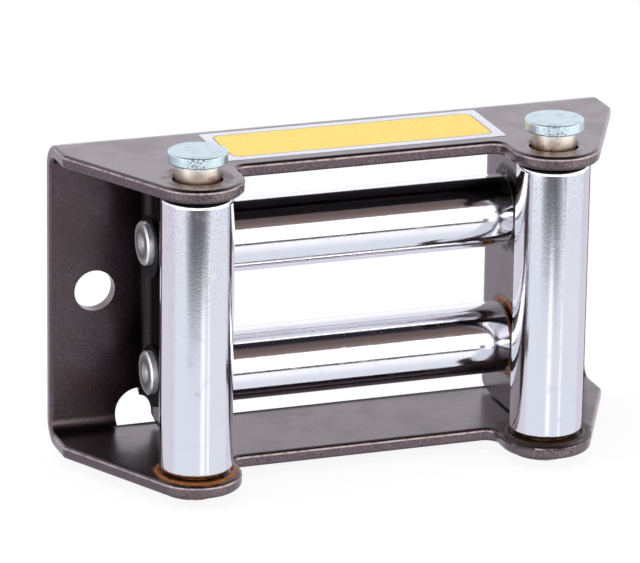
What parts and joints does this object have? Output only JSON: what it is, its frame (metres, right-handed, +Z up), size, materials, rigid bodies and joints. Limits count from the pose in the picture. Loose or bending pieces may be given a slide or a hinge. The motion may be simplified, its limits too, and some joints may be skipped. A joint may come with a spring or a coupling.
{
  "type": "roller fairlead",
  "caption": "Winch rope guide: bent sheet steel frame with upright and level chromed rollers on headed pins around a rope window, bolted on through its end strips.",
  "frame": {"origin": "middle of the flat mounting face at the back, halfway between the two mounting holes", "axes": "+X along the frame from the left roller to the right one as seen from the rope side, +Y back into the mounting surface, +Z up along the upright rollers towards their pin heads"},
  "size_m": [0.1476, 0.053, 0.0901],
  "materials": {
    "frame_steel": "grey-violet plated sheet steel, satin, darker bronze tint at the cut edges",
    "chromed_steel": "bright chromed tube, mirror-like with light smears of grease",
    "plated_steel": "pale plated steel, turned, half-bright",
    "bronze": "dull greased bronze",
    "spring_steel": "dark oiled spring steel",
    "black_steel": "blackened steel washer, dull"
  },
  "bodies": {
    "frame": {"frame": "frame_steel"},
    "left_pin_body": {"left_pin": "plated_steel", "left_clip": "spring_steel"},
    "left_roller_body": {"left_roller": "chromed_steel", "left_lower_bush": "bronze", "left_upper_bush": "bronze"},
    "right_pin_body": {"right_pin": "plated_steel", "right_clip": "spring_steel"},
    "right_roller_body": {"right_roller": "chromed_steel", "right_lower_bush": "bronze", "right_upper_bush": "bronze"},
    "upper_pin_body": {"upper_pin": "plated_steel", "upper_washer": "black_steel", "upper_clip": "spring_steel"},
    "upper_roller_body": {"upper_roller": "chromed_steel", "upper_left_bush": "bronze", "upper_right_bush": "bronze"},
    "lower_pin_body": {"lower_pin": "plated_steel", "lower_washer": "black_steel", "lower_clip": "spring_steel"},
    "lower_roller_body": {"lower_roller": "chromed_steel", "lower_left_bush": "bronze", "lower_right_bush": "bronze"}
  },
  "joints": [
    {"name": "left_pin_slide", "type": "slide", "parent": "frame", "child": "left_pin_body", "axis": [0, 0, 1], "range_m": [-0.004, 0]},
    {"name": "left_roller_spin", "type": "hinge", "parent": "frame", "child": "left_roller_body", "pos_m": [-0.0472, -0.0413, 0], "axis": [0, 0, 1], "continuous": true},
    {"name": "right_pin_slide", "type": "slide", "parent": "frame", "child": "right_pin_body", "axis": [0, 0, 1], "range_m": [-0.004, 0]},
    {"name": "right_roller_spin", "type": "hinge", "parent": "frame", "child": "right_roller_body", "pos_m": [0.0472, -0.0413, 0], "axis": [0, 0, 1], "continuous": true},
    {"name": "upper_pin_slide", "type": "slide", "parent": "frame", "child": "upper_pin_body", "axis": [1, 0, 0], "range_m": [0, 0.0045]},
    {"name": "upper_roller_spin", "type": "hinge", "parent": "frame", "child": "upper_roller_body", "pos_m": [0, -0.0205, 0.01725], "axis": [1, 0, 0], "continuous": true},
    {"name": "lower_pin_slide", "type": "slide", "parent": "frame", "child": "lower_pin_body", "axis": [1, 0, 0], "range_m": [-0.0011, 0.0033]},
    {"name": "lower_roller_spin", "type": "hinge", "parent": "frame", "child": "lower_roller_body", "pos_m": [0, -0.0205, -0.01725], "axis": [1, 0, 0], "continuous": true}
  ]
}
